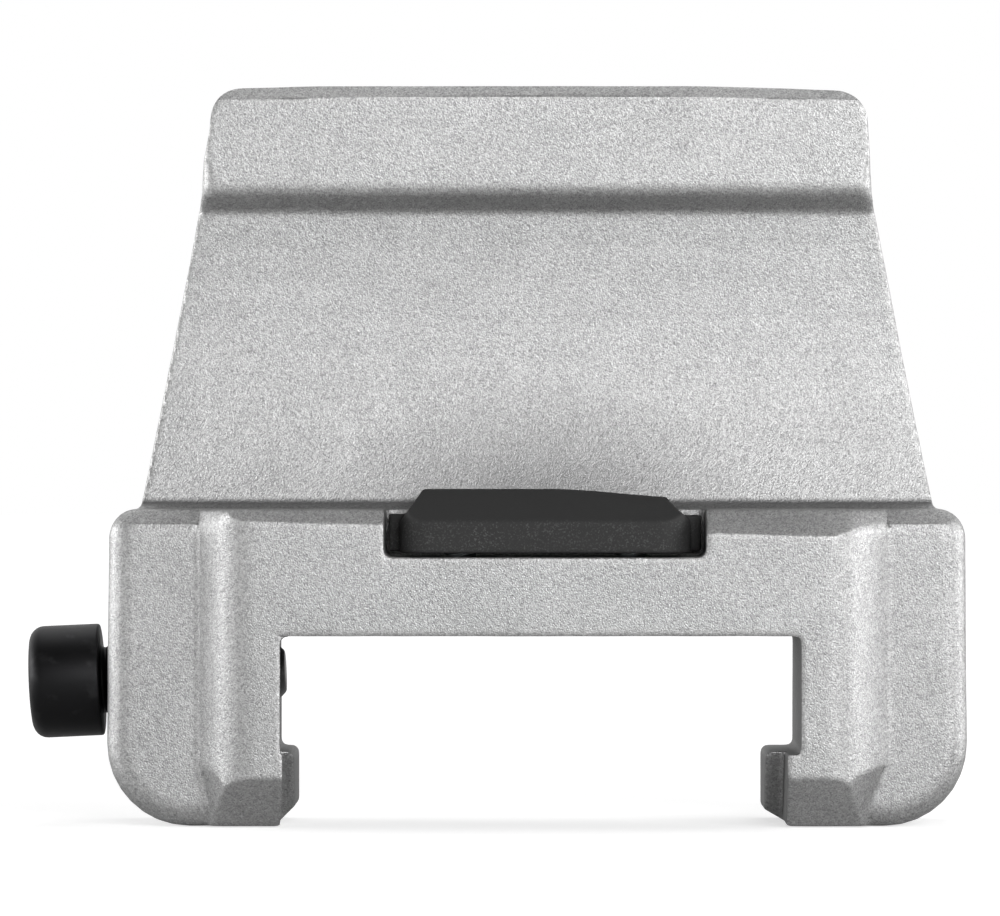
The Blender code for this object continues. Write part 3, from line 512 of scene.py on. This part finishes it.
def dress_wall(spot):
    """Dish the wall's front and rub its side edges round."""
    near_front = min((WALL_MIDDLE - spot.y) / (WALL_MIDDLE - HOOK_FRONT), 1.0)
    dish = bow(spot.x, -DISH_HALF, DISH_HALF) * bow(spot.z, ledge_height, DISH_TOP)
    radius = SIDE_RADIUS + HOOK_END_RADIUS * bow(spot.z, HOOK_END_FOOT, HOOK_END_TOP)
    inset = min(max(wall_half(spot.z) - abs(spot.x), 0.0), radius)
    turned_back = radius - math.sqrt(radius ** 2 - (radius - inset) ** 2)
    above_foot = ramp(spot.z, ledge_height, ledge_height + SIDE_FADE)
    spot.y += (DISH_DEPTH * dish + turned_back * above_foot) * near_front


def ease_corner(spot):
    """Draw in the left end of the hook, where its corner is rounder than the right one."""
    spot.x += EASE_REACH * bow(spot.z, EASE_FOOT, EASE_TOP) * ramp(-spot.x, 0.0, crest_half)


def file_edge(spot, top, front, flat):
    """File a level front edge flat, at 45 degrees, where it stands out."""
    proud = (spot.z - top) + (front - spot.y) + flat
    if proud > 0:
        spot.y += proud / 2
        spot.z -= proud / 2


def file_corner(spot, place, normal):
    """File away what stands out of a slanting plane, and round over the edges that this leaves."""
    proud = normal.dot(spot - place)
    if proud < CORNER_BLEND:
        proud = max(proud + CORNER_BLEND, 0.0) ** 2 / (4 * CORNER_BLEND)
    spot -= normal * proud


def add_overhang(spot):
    """Draw the front edge of the channel's left wall a little way into the channel."""
    near_front = 1 - ramp(spot.y, front_y, front_y + OVERHANG_DEPTH)
    near_edge = 1 - ramp(abs(spot.x - OVERHANG_PLACE), 0.0, OVERHANG_WIDTH)
    spot.x += OVERHANG_REACH * near_front * near_edge


print("the wall is", round(2 * wall_half(DISH_TOP) / MM, 1), "mm wide at the top of its dish")

# %% [markdown]
# The rules run over every point, each in its own part of the casting. Then the skin wavers, and
# the mesh is thinned. Edges that turn by more than a set angle are shaded sharp, so that the filed
# flats look flat.

# %% Casting, dressed
CAST_KEEP = 0.30
WAVE_SIZE = 7.0 * MM
WAVE_DEPTH = 0.10 * MM
SHARP_ANGLE = math.radians(22)


def finished(name, mesh, material, body, node):
    """A finished piece: smooth shaded, on its body, in the place of its CAD node."""
    mesh.name = name
    mesh.shade_smooth()
    mesh.materials.clear()
    mesh.materials.append(material)
    piece = bpy.data.objects.new(name, mesh)
    bpy.context.scene.collection.objects.link(piece)
    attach(piece, body)
    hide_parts(node)
    triangles = sum(len(face.vertices) - 2 for face in mesh.polygons)
    print("piece:", name, triangles, "triangles")
    return piece


def thinned(mesh, keep):
    """The mesh with some of its faces merged, fewest where it is curved."""
    thing = bpy.data.objects.new("thin", mesh)
    bpy.context.scene.collection.objects.link(thing)
    decimate = thing.modifiers.new("decimate", 'DECIMATE')
    decimate.ratio = keep
    return baked(thing)


for vertex in cast.vertices:
    spot = vertex.co.copy()
    beside_block = abs(spot.x - BLOCK_MIDDLE) > BLOCK_HALF
    ease_corner(spot)
    if spot.z > ledge_height and spot.y < WALL_MIDDLE:
        dress_wall(spot)
        file_edge(spot, crest_height - CREST_DROP * (spot.x / crest_half) ** 2, HOOK_FRONT, HOOK_FLAT)
    elif 0 < spot.z and spot.y < SHOULDER_FRONT + SHOULDER_FLAT and beside_block:
        file_edge(spot, ledge_height, SHOULDER_FRONT, SHOULDER_FLAT)
    elif 0 < spot.z and spot.y < SHOULDER_FRONT + SHOULDER_FLAT:
        file_corner(spot, *(LEFT_CORNER if spot.x < 0 else RIGHT_CORNER))
    elif spot.z < 0 and spot.x < 0:
        add_overhang(spot)
    vertex.co = spot
cast = run_tree(skin_tree, cast, {"Wave": WAVE_SIZE, "Depth": WAVE_DEPTH, "Material": aluminium})
casting = finished("saddle_casting", thinned(cast, CAST_KEEP), aluminium, "saddle", "saddle_body")
casting.data.set_sharp_from_angle(angle=SHARP_ANGLE)

# %% [markdown]
# ## A thread that follows its rule
#
# A screw thread is a ridge that climbs by one pitch on each turn. A curve could be swept along a
# helix, but its ends are hard to close. Here a flat grid is rolled into a tube instead: one side
# of the grid is the way round, the other the way along, and the radius of each point follows
# from how far along the thread's wave it lies. The wave runs out under the head, and a cone
# at the far end cuts the usual chamfer.

# %% Thread tree
THREAD_FLAT = 0.15

tree, given = new_tree("screw_thread", {
    "Diameter": 'NodeSocketFloat', "Pitch": 'NodeSocketFloat', "Depth": 'NodeSocketFloat',
    "Start": 'NodeSocketFloat', "End": 'NodeSocketFloat', "Chamfer": 'NodeSocketFloat',
    "Segments": 'NodeSocketInt', "Rows": 'NodeSocketInt', "Material": 'NodeSocketMaterial',
})
flat = add_node(tree, "GeometryNodeMeshGrid", {
    "Size X": 1.0, "Size Y": 1.0,
    "Vertices X": worked('ADD', given["Segments"], 1.0),
    "Vertices Y": worked('ADD', given["Rows"], 1.0),
})
across = add_node(tree, "ShaderNodeSeparateXYZ", {0: flat.outputs["UV Map"]})
turn = across.outputs["X"]
span = worked('SUBTRACT', given["End"], given["Start"])
along = worked('MULTIPLY_ADD', across.outputs["Y"], span, given["Start"])
angle = worked('MULTIPLY', turn, 2 * math.pi)
phase = worked('FRACT', worked('SUBTRACT', worked('DIVIDE', along, given["Pitch"]), turn))
wave = worked('ABSOLUTE', worked('MULTIPLY_ADD', phase, 2.0, -1.0))
flank = add_node(tree, "ShaderNodeMapRange", {"Value": wave, "From Min": THREAD_FLAT,
                                              "From Max": 1 - THREAD_FLAT}).outputs[0]
run_out = worked('DIVIDE', worked('SUBTRACT', along, given["Start"]), given["Pitch"])
cut = worked('MULTIPLY', flank, worked('MINIMUM', run_out, 1.0))
radius = worked('MULTIPLY', given["Diameter"], 0.5)
ridge = worked('SUBTRACT', radius, worked('MULTIPLY', cut, given["Depth"]))
nose = worked('SUBTRACT', radius, given["Chamfer"])
cone = worked('ADD', nose, worked('SUBTRACT', given["End"], along))
reach = worked('MINIMUM', ridge, cone)
rolled = add_node(tree, "ShaderNodeCombineXYZ", {
    "X": worked('MULTIPLY', reach, worked('COSINE', angle)),
    "Y": worked('MULTIPLY', reach, worked('SINE', angle)),
    "Z": along,
})
tube = add_node(tree, "GeometryNodeSetPosition", {"Geometry": flat.outputs["Mesh"],
                                                  "Position": rolled.outputs[0]})
sealed = add_node(tree, "GeometryNodeMergeByDistance", {"Geometry": tube.outputs[0], "Distance": WELD})
close_tree(tree, sealed.outputs[0], given["Material"])
thread_tree = tree
print("tree:", thread_tree.name)

# %% [markdown]
# ## Turned pieces
#
# The rest of a screw is turned, so it is drawn as rings: a radius and a height for each, with a
# single point where the radius is nothing. The six-sided socket fits the same way, because a
# hexagon is a ring whose radius changes with the angle. Sharp corners get a ring just before and
# just after them, so that smooth shading stays crisp there.

# %% Turning helpers
SEGMENTS = 72
ROWS_PER_PITCH = 16
THREAD_DEPTH = 0.6
CREASE = 0.06 * MM
LONGEST_EASE = 0.45


def hexagon(width):
    """The radius of a hexagon of this width across its flats, as a rule for an angle."""
    def radius(angle):
        from_flat = (angle + math.pi / 6) % (math.pi / 3) - math.pi / 6
        return width / 2 / math.cos(from_flat)
    return radius


def eased(profile, radius, steps=3):
    """A turned profile with a small arc at each of its inner corners."""
    points = [profile[0]]
    for before, corner, after in zip(profile, profile[1:], profile[2:]):
        corner, before, after = Vector(corner), Vector(before), Vector(after)
        shorter = min((before - corner).length, (after - corner).length)
        room = min(radius, shorter * LONGEST_EASE)
        start = corner + (before - corner).normalized() * room
        end = corner + (after - corner).normalized() * room
        for step in range(steps + 1):
            share = step / steps
            point = start.lerp(corner, share).lerp(corner.lerp(end, share), share)
            points.append(tuple(point))
    points.append(profile[-1])
    return points


def turned(shape, rings):
    """Rings of (radius, height) about Z, joined by faces; a radius may be a rule for an angle."""
    last = None
    for radius, height in rings:
        angles = [2 * math.pi * i / SEGMENTS for i in range(SEGMENTS)]
        if radius == 0.0:
            ring = [shape.verts.new((0, 0, height))] * SEGMENTS
        else:
            reach = [radius(a) if callable(radius) else radius for a in angles]
            ring = [shape.verts.new((r * math.cos(a), r * math.sin(a), height))
                    for r, a in zip(reach, angles)]
        for i in range(SEGMENTS if last else 0):
            j = (i + 1) % SEGMENTS
            corners = list(dict.fromkeys((last[i], last[j], ring[j], ring[i])))
            shape.faces.new(corners)
        last = ring


def turned_mesh(place, *runs, thread=None):
    """A mesh of turned runs and perhaps a thread, welded, facing outwards and put in its place."""
    shape = bmesh.new()
    if thread:
        shape.from_mesh(thread)
    for rings in runs:
        turned(shape, rings)
    bmesh.ops.remove_doubles(shape, verts=shape.verts, dist=WELD)
    bmesh.ops.recalc_face_normals(shape, faces=shape.faces)
    mesh = bpy.data.meshes.new("turned")
    shape.to_mesh(mesh)
    shape.free()
    mesh.transform(place)
    return mesh


def thread_mesh(diameter, pitch, start, end, chamfer, material):
    """A thread made by the tree, between two heights."""
    rows = round((end - start) / pitch * ROWS_PER_PITCH)
    return run_tree(thread_tree, bpy.data.meshes.new("thread"), {
        "Diameter": diameter, "Pitch": pitch, "Depth": THREAD_DEPTH * pitch, "Start": start, "End": end,
        "Chamfer": chamfer, "Segments": SEGMENTS, "Rows": rows, "Material": material,
    })


print("turned pieces have", SEGMENTS, "segments")

# %% [markdown]
# ## The clamp screw
#
# This is a common M6 cap screw with a coarse thread, bored at its end for the tip's stem. Its axis
# comes from the joint in the record, so it sits exactly on the line that it turns about.
# Heights are counted along that axis from the channel wall, as in the CAD model.

# %% Clamp screw
SCREW_DIAMETER = 6.0 * MM
SCREW_PITCH = 1.0 * MM
SCREW_END = -1.75 * MM
SCREW_CHAMFER = 0.8 * MM
HEAD_RADIUS = 4.985 * MM
HEAD_FACE = -22.0555 * MM
HEAD_UNDERSIDE = -15.7655 * MM
HEAD_EDGE = 1.3 * MM
HEAD_EASE = 0.25 * MM
HEAD_STEPS = 6
NECK = 0.1 * MM
SOCKET_WIDTH = 5.0 * MM
SOCKET_DEPTH = 3.2 * MM
SOCKET_POINT = 0.4 * MM
SOCKET_MOUTH = 3.1 * MM
SOCKET_SLOPE = (0.3 * MM, 0.05 * MM)
BORE_RADIUS = 1.4 * MM
GROOVE_RADIUS = 1.7 * MM
GROOVE_START = -3.15 * MM
BORE_END = -4.55 * MM

joint = next(j for j in frame["joints"] if j["name"] == "screw_turn")
axis = Vector(joint["axis"])
SCREW_PLACE = Matrix.Translation(joint["pos_m"]) @ Matrix.Rotation(math.atan2(axis.x, axis.z), 4, 'Y')

shank = SCREW_DIAMETER / 2
socket = hexagon(SOCKET_WIDTH)
socket_floor = HEAD_FACE + SOCKET_DEPTH
slope_end, mouth_drop = SOCKET_SLOPE
head = [(0.0, socket_floor + SOCKET_POINT), (socket, socket_floor), (socket, socket_floor - CREASE)]
head += [(socket, HEAD_FACE + slope_end), (SOCKET_MOUTH, HEAD_FACE + mouth_drop)]
head += [(SOCKET_MOUTH + CREASE, HEAD_FACE)]
for step in range(HEAD_STEPS + 1):
    bend = math.pi / 2 * step / HEAD_STEPS
    head.append((HEAD_RADIUS - HEAD_EDGE * (1 - math.sin(bend)),
                 HEAD_FACE + HEAD_EDGE * (1 - math.cos(bend))))
head += eased([(HEAD_RADIUS, HEAD_FACE + 2 * HEAD_EDGE), (HEAD_RADIUS, HEAD_UNDERSIDE),
               (shank + NECK, HEAD_UNDERSIDE)], HEAD_EASE)
head += [(shank, HEAD_UNDERSIDE + NECK)]
bore = [(shank - SCREW_CHAMFER, SCREW_END), (BORE_RADIUS, SCREW_END), (BORE_RADIUS, GROOVE_START),
        (GROOVE_RADIUS, GROOVE_START), (GROOVE_RADIUS, BORE_END), (0.0, BORE_END)]
thread = thread_mesh(SCREW_DIAMETER, SCREW_PITCH, HEAD_UNDERSIDE + NECK, SCREW_END, SCREW_CHAMFER,
                     black_steel)
finished("cap_screw", turned_mesh(SCREW_PLACE, head, bore, thread=thread), black_steel, "screw",
         "clamp_screw")

# %% [markdown]
# ## The swivel tip
#
# The tip is a small disc on a beaded stem that snaps into the screw's end, so that it bears on
# the rail without turning. It is a turned profile with eased corners.

# %% Swivel tip
TIP_RADIUS = 2.4 * MM
TIP_END = 0.65 * MM
TIP_BASE = -1.55 * MM
TIP_CHAMFER = 0.6 * MM
STEM_RADIUS = 1.2 * MM
STEM_END = -4.35 * MM
BEAD_RADIUS = 1.5 * MM
BEAD_LENGTH = 1.0 * MM
TIP_EASE = 0.2 * MM

tip = eased([
    (0.0, TIP_END), (TIP_RADIUS - TIP_CHAMFER, TIP_END), (TIP_RADIUS, TIP_END - TIP_CHAMFER),
    (TIP_RADIUS, TIP_BASE), (STEM_RADIUS, TIP_BASE), (STEM_RADIUS, STEM_END + BEAD_LENGTH),
    (BEAD_RADIUS, STEM_END + BEAD_LENGTH / 2), (STEM_RADIUS, STEM_END), (0.0, STEM_END),
], TIP_EASE)
finished("swivel_tip", turned_mesh(SCREW_PLACE, tip), acetal, "tip", "thrust_tip")

# %% [markdown]
# ## The rubber buffer
#
# The buffer is soft, so its edges are rounder than the casting's, and it has sagged a little
# towards its right end, as the photograph shows. The CAD shape is remeshed finely and smoothed,
# and then the points above its crease are let down along a smooth ramp.

# %% Rubber buffer
PAD_VOXEL = 0.15 * MM
PAD_SMOOTHING = 9
SAG_DEPTH = 0.75 * MM
SAG_START = 1.0 * MM
SAG_END = 13.4 * MM

pad = softened(welded_copy("buffer_pad"), PAD_VOXEL, PAD_SMOOTHING)
for vertex in pad.vertices:
    towards_right = ramp(vertex.co.x, SAG_START, SAG_END)
    vertex.co.z -= SAG_DEPTH * towards_right * ramp(vertex.co.z, crease_height, pad_top)
finished("rubber_buffer", pad, rubber, "saddle", "buffer_pad")

# %% [markdown]
# ## The buffer's screws
#
# Two M3 countersunk screws hold the buffer from inside the channel. They are alike, so one loop
# makes both from the same rings and the same thread tree. The steel plate in the buffer and
# the thread insert have the right shape already, so their CAD nodes stay and get the zinc finish.

# %% Buffer screws and steel pieces
SMALL_DIAMETER = 3.0 * MM
SMALL_PITCH = 0.5 * MM
SMALL_HEAD = 2.8 * MM
SMALL_RIM = (0.06 * MM, 0.12 * MM)
SMALL_EDGE = 0.1 * MM
SMALL_NECK = 0.05 * MM
SMALL_CHAMFER = 0.4 * MM
SMALL_SOCKET = 2.0 * MM
SMALL_SOCKET_DEPTH = 1.1 * MM
SMALL_SOCKET_POINT = 0.2 * MM
SMALL_MOUTH = 1.25 * MM
SMALL_SLOPE = (0.1 * MM, 0.02 * MM)

shank = SMALL_DIAMETER / 2
socket = hexagon(SMALL_SOCKET)
cone_end = SMALL_HEAD - shank
rim_start, rim_end = SMALL_RIM
slope_end, mouth_drop = SMALL_SLOPE
for side in ("left", "right"):
    node = f"buffer_screw_{side}"
    low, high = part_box(node)
    middle = (low + high) / 2
    small_place = Matrix.Translation((middle.x, middle.y, low.z))
    length = high.z - low.z
    head = [(0.0, SMALL_SOCKET_DEPTH + SMALL_SOCKET_POINT), (socket, SMALL_SOCKET_DEPTH)]
    head += [(socket, SMALL_SOCKET_DEPTH - CREASE), (socket, slope_end), (SMALL_MOUTH, mouth_drop)]
    head += [(SMALL_MOUTH + CREASE, 0.0), (SMALL_HEAD - SMALL_EDGE, 0.0), (SMALL_HEAD, rim_start)]
    head += [(SMALL_HEAD, rim_end), (shank + SMALL_NECK, cone_end), (shank, cone_end + CREASE)]
    end = [(shank - SMALL_CHAMFER, length), (0.0, length)]
    thread = thread_mesh(SMALL_DIAMETER, SMALL_PITCH, cone_end + CREASE, length, SMALL_CHAMFER, zinc)
    finished(f"countersunk_screw_{side}", turned_mesh(small_place, head, end, thread=thread), zinc,
             "saddle", node)

for node in ("buffer_plate", "thread_insert"):
    for slot in frame["nodes"][node].material_slots:
        slot.material = zinc
print("CAD nodes kept: buffer_plate, thread_insert")

# %% [markdown]
# ## The floor
#
# The object stands on its two feet on a plain pale floor. The picture has a white ground, so the
# floor glows for the camera, which the Light Path node tells, and only a faint shadow is left
# close to the object. Further off it is white, in reflections too. All other rays meet a plain
# pale grey.

# %% Floor
FLOOR_SIZE = 6.0
FLOOR_LIFT = 0.6
WHITE_FROM = 0.9
WHITE = linear("#FFFFFF")

feet = CAD_BOX[0].z
floor_mesh = bpy.data.meshes.new("floor")
half = FLOOR_SIZE / 2
floor_mesh.from_pydata([(-half, -half, feet), (half, -half, feet), (half, half, feet),
                        (-half, half, feet)], [], [(0, 1, 2, 3)])
floor_piece = bpy.data.objects.new("floor", floor_mesh)
bpy.context.scene.collection.objects.link(floor_piece)


def light_path():
    """1 for rays from the camera, and 1 for these and for rays in reflections or through glass."""
    path = add_node(tree, "ShaderNodeLightPath", {}).outputs
    mirrored = worked('MAXIMUM', path["Is Glossy Ray"], path["Is Transmission Ray"])
    return path["Is Camera Ray"], worked('MAXIMUM', path["Is Camera Ray"], mirrored)


paper, tree, shader, place = new_finish("white_paper", metallic=0.0, roughness=0.9)
shader.inputs["Base Color"].default_value = linear("#CACACA")
shader.inputs["Specular IOR Level"].default_value = 0.0
far = sized("ShaderNodeTexGradient", (WHITE_FROM,) * 3)
far.gradient_type = 'SPHERICAL'
by_camera, seen = light_path()
near = worked('MULTIPLY', by_camera, FLOOR_LIFT)
lift = add_node(tree, "ShaderNodeMapRange", {"Value": far.outputs[1], "From Min": 1.0,
                                             "From Max": 0.0, "To Min": near, "To Max": 1.0})
glow = worked('MULTIPLY', lift.outputs[0], seen)
shader.inputs["Emission Color"].default_value = WHITE
tree.links.new(glow, shader.inputs["Emission Strength"])
floor_mesh.materials.append(paper)
print("floor at", round(feet / MM, 2), "mm")

# %% [markdown]
# ## The world
#
# The world is white to the camera. Reflections see white behind the object and a dim room in front
# of it, as in a studio with a lit backdrop, so the metal has something dark to mirror. All other
# rays get an even, weak light.

# %% World
WORLD_GREY = 0.15
ROOM_GREY = 0.02
BACKDROP_FROM = -0.2
BACKDROP_FULL = 0.4

world = bpy.data.worlds.new("white_studio")
bpy.context.scene.world = world
world.use_nodes = True
tree = world.node_tree
by_camera, seen = light_path()
direction = add_node(tree, "ShaderNodeTexCoord", {}).outputs["Generated"]
away = add_node(tree, "ShaderNodeSeparateXYZ", {0: direction}).outputs["Y"]
backdrop = add_node(tree, "ShaderNodeMapRange", {
    "Value": away, "From Min": BACKDROP_FROM, "From Max": BACKDROP_FULL, "To Min": ROOM_GREY,
})
bright = worked('MAXIMUM', by_camera, backdrop.outputs[0])
level = add_node(tree, "ShaderNodeMix", {0: seen, 2: WORLD_GREY, 3: bright})
tree.links.new(level.outputs[0], tree.nodes["Background"].inputs["Strength"])
tree.nodes["Background"].inputs["Color"].default_value = WHITE
print("world:", world.name)

# %% [markdown]
# ## Studio light
#
# The front is lit by a soft box above the camera, a little to its right. A wide, weaker box fills
# in from the left. Two boxes stand nearly level with the object at its sides, and the sloped
# sides of the block mirror them. Two more hang above and behind, for the edges that face up.
# Nothing shines from below, so the undersides stay dark. Each lamp is written as its bearing from
# the camera and its height in degrees, its width and height in metres, and its power in watts.

# %% Lamps
TARGET = Vector((0.0, 0.0, 15 * MM))
LAMP_DISTANCE = 0.75
LAMPS = {
    "key_box": (22, 18, 0.50, 0.24, 4.4),
    "left_fill_box": (-65, 10, 0.85, 0.24, 1.8),
    "left_box": (-100, 10, 0.50, 0.24, 2.8),
    "right_box": (90, 10, 0.50, 0.24, 3.4),
    "rear_box": (180, 65, 0.50, 0.50, 0.8),
    "top_box": (180, 82, 0.50, 0.50, 0.5),
}
for name, (aside, up, width, height, power) in LAMPS.items():
    lamp = bpy.data.lights.new(name, 'AREA')
    lamp.shape = 'RECTANGLE'
    lamp.size = width
    lamp.size_y = height
    lamp.energy = power
    stand = bpy.data.objects.new(name, lamp)
    turn = math.radians(aside)
    rise = math.radians(up)
    towards = Vector((math.sin(turn) * math.cos(rise), -math.cos(turn) * math.cos(rise), math.sin(rise)))
    stand.location = TARGET + towards * LAMP_DISTANCE
    stand.rotation_euler = (-towards).to_track_quat('-Z', 'Y').to_euler()
    bpy.context.scene.collection.objects.link(stand)
    print("lamp:", name, power, "W")

bpy.context.scene.view_settings.view_transform = 'Standard'
